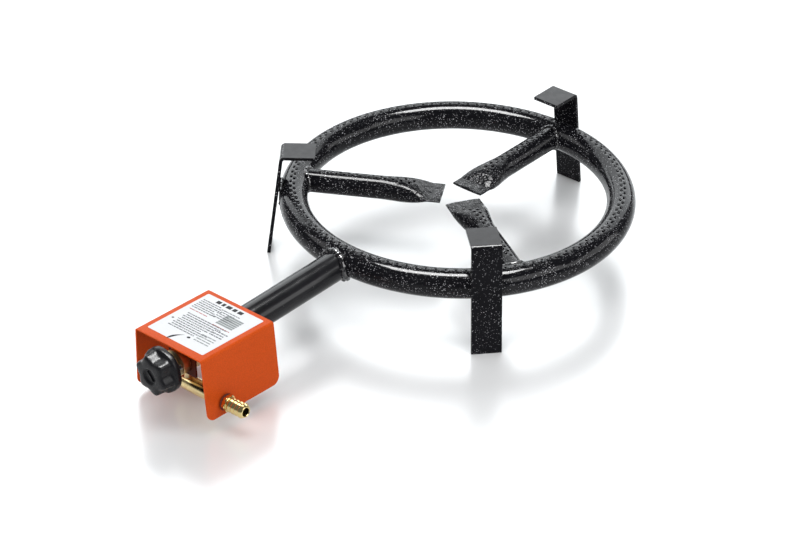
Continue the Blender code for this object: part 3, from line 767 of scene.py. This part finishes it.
def make_mixing_tube():
    start = Vector((0, -MIX_U[0], MIX_Z[0]))
    run = Vector((0, -MIX_U[1], MIX_Z[1])) - start
    at = CENTRE @ Matrix.Translation(start) @ run.to_track_quat("X", "Z").to_matrix().to_4x4()
    length = run.length
    inside = MIX_R - MIX_WALL
    profile = [(0, inside), (0, MIX_R)]
    profile += [(length * i / MIX_STEPS, MIX_R) for i in range(1, MIX_STEPS)]
    profile += [(length - 0.4 * MM, MIX_R), (length - 0.1 * MM, MIX_R - 0.12 * MM),
                (length, MIX_R - 0.4 * MM), (length, inside + 0.3 * MM),
                (length - 0.3 * MM, inside)]
    bm = turned(bmesh.new(), profile, at, sides=112, loop=True)
    finish("mixing_tube_skin", bm, SATIN, nodes=["mixing_tube"])
    bm = bead(mixing_joint(84), MIX_WELD_R, 11, CENTRE)
    finish("mixing_tube_weld", bm, WELD, smooth=80)


def mixing_joint(count):
    """The line on which the mixing tube meets the ring's outside."""
    slope = (MIX_Z[1] - MIX_Z[0]) / (MIX_U[1] - MIX_U[0])
    axis = MIX_Z[0] + slope * MIX_JOINT_U - RING_Z
    points = []
    for k in range(count):
        a = TAU * k / count
        x, z = MIX_R * math.cos(a), axis + MIX_R * math.sin(a)
        out = RING_R + math.sqrt(max(RING_TUBE_R ** 2 - z * z, MIX_JOINT_REACH ** 2))
        u = math.sqrt(out * out - x * x) + 0.3 * MM
        points.append((x * WELD_CLEAR, -u, RING_Z + z))
    return points


# ==== cover ====================================================================================

COVER_U = (253 * MM, 329.5 * MM)
COVER_HALF = 37.5 * MM
COVER_TOP = 61.4 * MM
COVER_DROP = 54.2 * MM
COVER_T = 1.2 * MM
COVER_BEND = 2.4 * MM
COVER_CORNER = 7 * MM
COVER_FLARE = math.radians(3.5)
COVER_STEPS = 8                     # in each bend and each rounded corner
COVER_EDGE = 0.32 * MM
PANEL_HOLE_R = 5.2 * MM
PANEL_HOLE_X = (28 * MM, 52 * MM)   # a drill's length, through the right side only


def cover_half():
    """Section of one side: (x, z, normal x, normal z, distance to the free edge)."""
    sweep = math.pi / 2 - COVER_FLARE
    knee = (COVER_HALF - COVER_BEND, COVER_TOP - COVER_BEND)
    reach = (COVER_DROP - COVER_BEND) / math.cos(COVER_FLARE)
    half = []
    for i in range(COVER_STEPS + 1):
        a = math.pi / 2 - sweep * i / COVER_STEPS
        nx, nz = math.cos(a), math.sin(a)
        half.append((knee[0] + COVER_BEND * nx, knee[1] + COVER_BEND * nz, nx, nz, reach))
    x, z, nx, nz, reach = half[-1]
    for i in range(COVER_STEPS, -1, -1):
        left = COVER_CORNER * (1 - math.cos(math.pi / 2 * i / COVER_STEPS))
        down = reach - left
        half.append((x + nz * down, z - nx * down, nx, nz, left))
    return half


def make_cover():
    right = cover_half()
    path = [(-x, z, -nx, nz, left) for x, z, nx, nz, left in reversed(right)] + right
    rings = []
    for x, z, nx, nz, left in path:
        inset = 0.0
        if left < COVER_CORNER:
            rise = COVER_CORNER - left
            inset = COVER_CORNER - math.sqrt(max(0.0, COVER_CORNER ** 2 - rise ** 2))
        front, back = -COVER_U[1] + inset, -COVER_U[0] - inset
        ix, iz = x - nx * COVER_T, z - nz * COVER_T
        corners = ((x, front, z), (x, back, z), (ix, back, iz), (ix, front, iz))
        rings.append([COVER @ Vector(p) for p in corners])
    cover = finish("cover_sheet", skin(bmesh.new(), rings), ORANGE, nodes=["tap_cover"],
                   smooth=30)
    x0, x1 = PANEL_HOLE_X
    drill = [(x0, 0), (x0, PANEL_HOLE_R), (x1, PANEL_HOLE_R), (x1, 0)]
    bore(cover, turned(bmesh.new(), drill, INLET, sides=48))
    bevelled(cover, COVER_EDGE, 3, 50)


# ==== label ====================================================================================

LABEL_X = (-31.2 * MM, 31 * MM)
LABEL_Y = (7.2 * MM, 72.3 * MM)     # back from the cover's front edge
LABEL_Z = COVER_TOP + 0.02 * MM
LABEL_T = 0.12 * MM
LABEL_CORNER = 1.2 * MM
PRINT_Z = LABEL_Z + LABEL_T + 0.02 * MM
PRINT_GAP = 0.55                    # between the bars of small print, in millimetres


def on_cover(x, y, z):
    """A point on the cover's top, y back from its front edge."""
    return COVER @ Vector((x, y - COVER_U[1], z))


def on_label(bm, x, y):
    """A vertex of the print, with x and y in millimetres."""
    return bm.verts.new(on_cover(x * MM, y * MM, PRINT_Z))


def make_label_film():
    x0, x1 = LABEL_X
    y0, y1 = LABEL_Y
    outline = []
    for turn, (x, y, sx, sy) in enumerate(((x1, y1, 1, 1), (x0, y1, -1, 1), (x0, y0, -1, -1),
                                           (x1, y0, 1, -1))):
        for i in range(7):
            a = math.pi / 2 * (turn + i / 6)
            outline.append((x - sx * LABEL_CORNER + LABEL_CORNER * math.cos(a),
                            y - sy * LABEL_CORNER + LABEL_CORNER * math.sin(a)))
    levels = (LABEL_Z, LABEL_Z + LABEL_T)
    bm = skin(bmesh.new(), [[on_cover(x, y, z) for x, y in outline] for z in levels])
    finish("label_film", bm, FILM, nodes=["rating_label"], smooth=30)


class Print:
    """Bars that stand in for the label's print, laid out in millimetres."""
    grey, dark, red, pale = range(4)
    inks = [INK_GREY, INK_DARK, INK_RED, INK_PALE]

    def __init__(self, seed):
        self.bm = bmesh.new()
        self.rng = random.Random(seed)

    def bar(self, x0, x1, y0, y1, ink):
        corners = ((x0, y0), (x1, y0), (x1, y1), (x0, y1))
        face = self.bm.faces.new([on_label(self.bm, *p) for p in corners])
        face.material_index = ink

    def line(self, left, right, y, height, ink, shortest=1.0, longest=4.2):
        """One line of small print: bars of uneven length from left to right."""
        x = left
        while x < right - shortest:
            run = min(right - x, self.rng.uniform(shortest, longest))
            self.bar(x, x + run, y, y + height, ink)
            x += run + PRINT_GAP

    def lines(self, count, left, right, y, pitch, height, ink, ragged=(0, 0), runs=(1.0, 4.2)):
        """Lines a pitch apart, with their left and right ends ragged by so much."""
        for i in range(count):
            self.line(left + ragged[0] * (i % 2), right + ragged[1] * (i % 3), y + pitch * i,
                      height, ink, *runs)


def make_label_print():
    page = Print(seed=7)
    x = -17.5
    for width in (4.6, 3.2, 5.4, 4.0, 5.0):
        page.bar(x, x + width, 66.4, 70.2, page.dark)
        x += width + 1.7
    page.lines(6, -28, -8, 63.2, -2.5, 1.1, page.grey, ragged=(0, 3))
    page.lines(5, -6, 14, 62, -2.6, 1.0, page.grey, ragged=(2, -3))
    for i in range(6):
        page.bar(4, 22, 46 + 2.4 * i, 47.9 + 2.4 * i, page.pale)
    page.line(4, 24, 42.4, 1.0, page.red)
    page.line(-27, -6, 47.4, 0.9, page.red, 3, 7)
    page.bar(-27.6, -25.6, 29, 30.6, page.dark)
    page.lines(6, -23, 6, 21, 2.6, 1.15, page.grey, ragged=(1.5, 4.5))
    page.lines(3, -23, 12, 36.6, 2.6, 1.15, page.grey, ragged=(1.5, 4.5))
    page.lines(4, 9, 25, 18, 3.0, 1.2, page.pale, runs=(2, 6))
    page.lines(3, 12, 26, 31.5, 3.0, 1.3, page.grey, runs=(1, 3))
    finish("label_print", page.bm, page.inks, merge=0)


def make_label_mark():
    """A tapered dark stroke and a dot near the label's front edge."""
    bm = bmesh.new()
    start, end = Vector((-8.4, 6.4)), Vector((-0.6, 18.2))
    bulge, hairline, swell = 1.5, 0.2, 2.3
    along = (end - start).normalized()
    across = Vector((-along.y, along.x))
    steps = 16
    upper, lower = [], []
    for i in range(steps + 1):
        f = i / steps
        thick = hairline + swell * math.sin(math.pi * f ** 0.55) ** 1.2
        p = start + (end - start) * f + across * bulge * math.sin(f * math.pi)
        upper.append(p + across * thick / 2)
        lower.append(p - across * thick / 2)
    for i in range(steps):
        quad = (upper[i], lower[i], lower[i + 1], upper[i + 1])
        bm.faces.new([on_label(bm, *p) for p in quad])
    dot = [TAU * k / 20 for k in range(20)]
    bm.faces.new([on_label(bm, 4.4 + 1.7 * math.cos(a), 17.6 + 1.2 * math.sin(a)) for a in dot])
    finish("label_mark", bm, INK_DARK, merge=0)


# ==== gas tap ==================================================================================
# Profiles of turned parts are in millimetres: x along the axis, then the radius. Along the tap's
# own axis x is the same as U.

TAP_R = 11
BONNET_FRONT = 323.5
SCREW_OFFSET = 8.1                  # of the two bonnet screws, from the tap's axis


def make_tap_body():
    back, front, floor, inside, jet_way = 297, 313.7, 298.5, 4.6, 1.8
    profile = [(back, jet_way), (back, 6.6), (back + 0.4, 7), (back + 3, 7), (back + 3.5, 8.5)]
    profile += chamfered(back + 4, front, TAP_R)
    profile += [(front, inside), (floor, inside), (floor, jet_way)]
    bm = turned(bmesh.new(), in_metres(profile), TAP, loop=True)
    drop = FRONT @ Matrix.Translation((0, -INLET_U, 0)) @ Matrix.Rotation(-math.pi / 2, 4, "Y")
    turned(bm, in_metres([(23.5, 3.6), (24.6, 3.1), (34, 3.1)]), drop, sides=40)
    finish("tap_casting", bm, TAP_BRASS, nodes=["tap_body"])


def make_bonnet():
    back, front, nose, inside = 315.8, BONNET_FRONT, 328, 3.25
    profile = [(back, inside)] + chamfered(back, front, TAP_R, 0.7)
    profile += [(front, 6.2), (front + 0.3, 5.6), (front + 0.8, 5.3), (nose - 0.6, 5.3),
                (nose, 4.7), (nose, inside)]
    bm = turned(bmesh.new(), in_metres(profile), TAP, loop=True)
    finish("tap_bonnet_turned", bm, TAP_BRASS, nodes=["tap_bonnet"])


def make_bonnet_screws():
    tip, head = 307, BONNET_FRONT + 0.3
    profile = [(tip, 0), (tip, 1.1), (tip + 0.6, 1.5), (head, 1.5), (head, 2.0),
               (head + 0.2, 2.1), (head + 1.0, 2.05), (head + 1.5, 1.6), (head + 1.8, 0.9),
               (head + 1.8, 0)]
    slot_half, slot_length, slot_floor = 0.3, 3, 0.9
    for number, side in enumerate((-1, 1), 1):
        at = TAP @ Matrix.Translation((0, side * SCREW_OFFSET * MM, 0))
        bm = turned(bmesh.new(), in_metres(profile), at, sides=40)
        screw = finish(f"bonnet_screw_detail_{number}", bm, STEEL,
                       nodes=[f"bonnet_screw_{number}"])
        turn = at @ Matrix.Rotation(0.5 + number, 4, "X")
        corners = [(sy * slot_length, sz * slot_half)
                   for sy, sz in ((-1, -1), (1, -1), (1, 1), (-1, 1))]
        rings = [[turn @ (Vector((x, y, z)) * MM) for y, z in corners]
                 for x in (head + slot_floor, head + 3)]
        bore(screw, skin(bmesh.new(), rings))


def make_stem():
    """A hexagonal key that turns the plug, then a round shaft up into the knob."""
    back, key_end, front = 309, 316.8, 345.5
    across, shaft = 2.65, 3
    profile = [(back, 0), (back, across, 1), (key_end, across, 1), (key_end + 0.1, shaft),
               (front - 0.5, shaft), (front, shaft - 0.5), (front, 0)]
    bm = turned(bmesh.new(), in_metres(profile), TAP, shape=hexed)
    finish("tap_stem_turned", bm, STEEL, body="spindle", nodes=["tap_stem"])


def make_injector():
    """A nozzle with a hexagon at its back and a fine jet at its tip."""
    tip, back, hexagon = 283.5, 296.7, 292.5
    jet, inside, nozzle, across = 0.8, 2.2, 4.5, 6.6
    profile = [(tip, jet), (tip, 1.7), (tip + 0.3, 2.1), (tip + 3, nozzle - 0.1),
               (tip + 3.6, nozzle), (hexagon, nozzle), (hexagon, across - 0.6, 0.3),
               (hexagon + 0.4, across, 1), (back - 0.4, across, 1), (back, across - 0.6, 0.3),
               (back, inside), (tip + 4, inside), (tip + 2.5, jet)]
    bm = turned(bmesh.new(), in_metres(profile), TAP, loop=True, shape=hexed)
    finish("injector_turned", bm, TAP_BRASS, nodes=["injector"])


# ==== knob =====================================================================================

KNOB_R = 19.3
KNOB_U = (333, 349.5)
KNOB_TURN = math.radians(-75)
KNOB_LOBES = 6
LOBE_DEPTH, SKIRT_DEPTH = 0.19, 0.025       # of the hollows between the lobes, as a share


def lobed(a):
    """How far a hollow between two lobes lies inside the circle, from 0 to 1."""
    wave = (1 - math.cos(KNOB_LOBES * (a - KNOB_TURN))) / 2
    return wave ** 0.8


def make_knob():
    back, front = KNOB_U
    r, deep, skirt = KNOB_R, LOBE_DEPTH, SKIRT_DEPTH
    recess = [(front - 1.7, 0), (front - 1.7, 2), (front - 1.65, 4.8), (front - 1.5, 5.6),
              (front - 0.5, 6.5), (front - 0.1, 6.9), (front, 7.5), (front, 8.4)]
    lobes = [(front - 0.05, 12, deep * 0.7), (front - 0.3, 14.6, deep),
             (front - 0.8, 15.8, deep), (front - 1.6, 16.6, deep), (front - 2.8, 17.0, deep),
             (back + 8.6, 17.4, deep), (back + 6.6, 17.7, deep * 0.9)]
    rim = [(back + 5.6, 18.0, deep * 0.6), (back + 5.0, 18.5, deep * 0.25),
           (back + 4.5, 18.9, skirt), (back + 3.6, 19.15, skirt), (back + 1.2, r, skirt),
           (back + 0.4, r - 0.15, skirt), (back, r - 0.6, skirt), (back, r - 2.1, skirt)]
    hollow = [(back + 4.5, r - 2.9, skirt), (back + 8.3, r - 4.4, deep),
              (back + 8.6, r - 5.4, deep), (back + 8.6, 6.6)]
    hub = [(back + 8.2, 6.0), (back + 2.2, 5.6), (back + 1.8, 5.2), (back + 1.8, 3.6),
           (back + 2.2, 3.2), (front - 3.7, 3.2), (front - 3.7, 0)]
    profile = in_metres(recess + lobes + rim + hollow + hub)
    bm = turned(bmesh.new(), profile, TAP, sides=240, shape=lobed)
    skin(bm, knob_ridge(front))
    finish("knob_moulding", bm, PLASTIC, body="spindle", nodes=["knob"],
           smooth=50)


def knob_ridge(front):
    """Rings of the raised line in the knob's recess: a narrow bar with swollen ends."""
    turn = TAP @ Matrix.Rotation(KNOB_TURN + math.radians(25), 4, "X")
    length, waist, thick = 4.9, 0.9, 0.75
    angles = [TAU * k / 24 for k in range(24)]
    rings = []
    for depth, shrink in ((2.2, 0), (0.9, 0), (0.65, 0.12), (0.55, 0.35)):
        ring = []
        for a in angles:
            c = math.cos(a)
            y = (length - shrink) * c ** 3 if abs(c) > 0.5 else waist * c
            ring.append(turn @ (Vector((front - depth, y, (thick - shrink) * math.sin(a))) * MM))
        rings.append(ring)
    return rings


# ==== gas inlet ================================================================================

WAY_R = 3.5                         # of the gas way, in millimetres as the other inlet sizes
BAR_X = (-13, 38.9)
BAR_R = 6.5
SOCKET_R, SOCKET_X = 5.1, 26        # in the bar's end, for the hose tail's thread
COLLAR_X = (43.4, 46.6)
TAIL_END = 64
TAIL_ROOT, TAIL_RIB, TAIL_RIBS = 5.2, 6.2, 4


def make_gas_bar():
    x0, x1 = BAR_X
    profile = [(x0, 0), (x0, BAR_R - 0.9)] + chamfered(x0, x1, BAR_R)[1:]
    profile += [(x1, SOCKET_R), (SOCKET_X, SOCKET_R), (SOCKET_X, WAY_R), (-6, WAY_R), (-6, 0)]
    bm = turned(bmesh.new(), in_metres(profile), INLET)
    finish("gas_bar_turned", bm, BAR_BRASS, nodes=["gas_bar"])


def make_hose_tail():
    c0, c1 = COLLAR_X
    root, rib, thread, across = TAIL_ROOT, TAIL_RIB, 4.75, 7.3
    first_rib = c1 + 2
    pitch = (TAIL_END - first_rib) / TAIL_RIBS
    profile = [(SOCKET_X + 0.4, WAY_R), (SOCKET_X + 0.4, thread), (c0 + 0.6, thread),
               (c0, 5.5), (c0, across - 0.7, 0.3), (c0 + 0.35, across, 1),
               (c1 - 0.35, across, 1), (c1, across - 0.7, 0.3), (c1, 5.6), (c1 + 0.3, root),
               (c1 + 1.7, root)]
    for i in range(TAIL_RIBS):
        foot = first_rib + i * pitch
        profile += [(foot, root + 0.1), (foot + 0.2, rib - 0.15), (foot + 0.45, rib),
                    (foot + 1.0, rib), (foot + 1.4, rib - 0.12), (foot + pitch - 0.35, root)]
    profile[-1] = (TAIL_END - 0.5, root - 0.35)
    profile += [(TAIL_END - 0.12, root - 0.65), (TAIL_END, root - 0.9),
                (TAIL_END, WAY_R + 0.35), (TAIL_END - 0.3, WAY_R)]
    bm = turned(bmesh.new(), in_metres(profile), INLET, loop=True, shape=hexed)
    finish("hose_tail_turned", bm, TAIL_BRASS, nodes=["hose_tail"])


def make_washer():
    x0, x1, edge = COLLAR_X[0] - 1.3, COLLAR_X[0] - 0.3, 0.2
    inner, outer = SOCKET_R, 7
    profile = [(x0, inner), (x0, outer - edge), (x0 + edge, outer), (x1 - edge, outer),
               (x1, outer - edge), (x1, inner)]
    bm = turned(bmesh.new(), in_metres(profile), INLET, loop=True)
    # the washer's colour carries painted shade of the gap between bar and collar
    finish("inlet_washer_ring", bm, FIBRE_AND_SHADE, nodes=["inlet_washer"])


# ==== CAD nodes that keep their own shape ======================================================

def dress_cad():
    # the bracket takes the orange paint darkened as painted shade
    looks = {"tap_bracket": SHADED_ORANGE, "tap_plug": TAP_BRASS, "return_spring": STEEL}
    for node, mat in looks.items():
        mesh = frame["nodes"][node].data
        mesh.materials.clear()
        mesh.materials.append(mat)
        shaded(mesh, 35)
    bevelled(frame["nodes"]["tap_bracket"], 0.3 * MM, 2, 50)


# ==== floor, light and camera ==================================================================

FLOOR_HALF = 6.0
WORLD_COLOUR, WORLD_STRENGTH = (0.95, 0.97, 1.0, 1), 0.15
BACKDROP_COLOUR = (0.95, 0.985, 1.0)
LIGHT_AIM = Vector((0, 0, 0.05))
CAMERA_PLACE = Vector((1279.6, -1351.0, 1205.9)) * MM
CAMERA_VIEW = (42.93, 32.69)        # azimuth and elevation
CAMERA_ROLL = math.radians(0.57)
CAMERA_LENS, CAMERA_SENSOR = 120.15, 36


def towards(azimuth, elevation):
    """The direction from the object to a light or camera; azimuth 0 is in front, towards -Y."""
    az, el = math.radians(azimuth), math.radians(elevation)
    return Vector((math.sin(az) * math.cos(el), -math.cos(az) * math.cos(el), math.sin(el)))


def make_stage():
    bm = bmesh.new()
    corners = ((-1, -1), (1, -1), (1, 1), (-1, 1))
    bm.faces.new([bm.verts.new((x * FLOOR_HALF, y * FLOOR_HALF, 0)) for x, y in corners])
    floor = plain_object("floor", bm)
    floor.data.materials.append(pale_floor("pale_floor"))


def softbox(name, direction, distance, size, power, colour=(1, 1, 1)):
    """A rectangular light, in an (azimuth, elevation) direction and aimed at the object."""
    out = towards(*direction)
    lamp = bpy.data.lights.new(name, "AREA")
    lamp.shape = "RECTANGLE"
    lamp.size, lamp.size_y = size
    lamp.energy = power
    lamp.color = colour
    obj = bpy.data.objects.new(name, lamp)
    bpy.context.scene.collection.objects.link(obj)
    obj.location = LIGHT_AIM + out * distance
    obj.rotation_euler = (-out).to_track_quat("-Z", "Y").to_euler()
    return obj


def glazed_parts():
    """A collection of the pieces with a glaze or a plastic gloss."""
    glazed = bpy.data.collections.new("glazed_parts")
    for obj in bpy.data.objects:
        coats = obj.data.materials if obj.type == "MESH" else []
        if any("enamel" in m.name or "plastic" in m.name for m in coats):
            glazed.objects.link(obj)
    return glazed


def make_lights():
    world = bpy.data.worlds.new("studio")
    bpy.context.scene.world = world
    world.use_nodes = True
    back = world.node_tree.nodes["Background"]
    back.inputs["Color"].default_value = WORLD_COLOUR
    back.inputs["Strength"].default_value = WORLD_STRENGTH
    softbox("overhead", (223, 85), 2.6, (1.9, 0.9), 20)
    softbox("backdrop", (223, 28), 3.0, (5.4, 2.1), 112, BACKDROP_COLOUR)
    softbox("right_fill", (95, 28), 2.4, (1.6, 1.2), 23)
    softbox("left_fill", (-60, 35), 2.6, (1.0, 1.0), 8)
    softbox("front_fill", (8, 28), 2.4, (1.6, 0.8), 30).visible_glossy = False
    # these two only draw the long highlights on the glazed parts
    glazed = glazed_parts()
    for lamp in (softbox("overhead_sheen", (223, 85), 2.5, (1.8, 0.85), 250),
                 softbox("flank_sheen", (135, 16), 2.5, (1.8, 1.1), 18)):
        lamp.visible_diffuse = False
        lamp.light_linking.receiver_collection = glazed


def make_camera():
    cam = bpy.data.cameras.new("camera")
    cam.sensor_width = CAMERA_SENSOR
    cam.lens = CAMERA_LENS
    cam.clip_start, cam.clip_end = 0.05, 50
    cam.dof.use_dof = False
    obj = bpy.data.objects.new("camera", cam)
    bpy.context.scene.collection.objects.link(obj)
    turn = (-towards(*CAMERA_VIEW)).to_track_quat("-Z", "Y").to_matrix().to_4x4()
    roll = Matrix.Rotation(CAMERA_ROLL, 4, "Z")
    obj.matrix_world = Matrix.Translation(CAMERA_PLACE) @ turn @ roll
    bpy.context.scene.camera = obj


make_ring()
make_arms()
make_legs()
make_mixing_tube()
make_cover()
make_label_film()
make_label_print()
make_label_mark()
make_tap_body()
make_bonnet()
make_bonnet_screws()
make_stem()
make_injector()
make_knob()
make_gas_bar()
make_hose_tail()
make_washer()
dress_cad()
make_stage()
make_lights()
make_camera()
bpy.context.scene.view_settings.view_transform = "Standard"
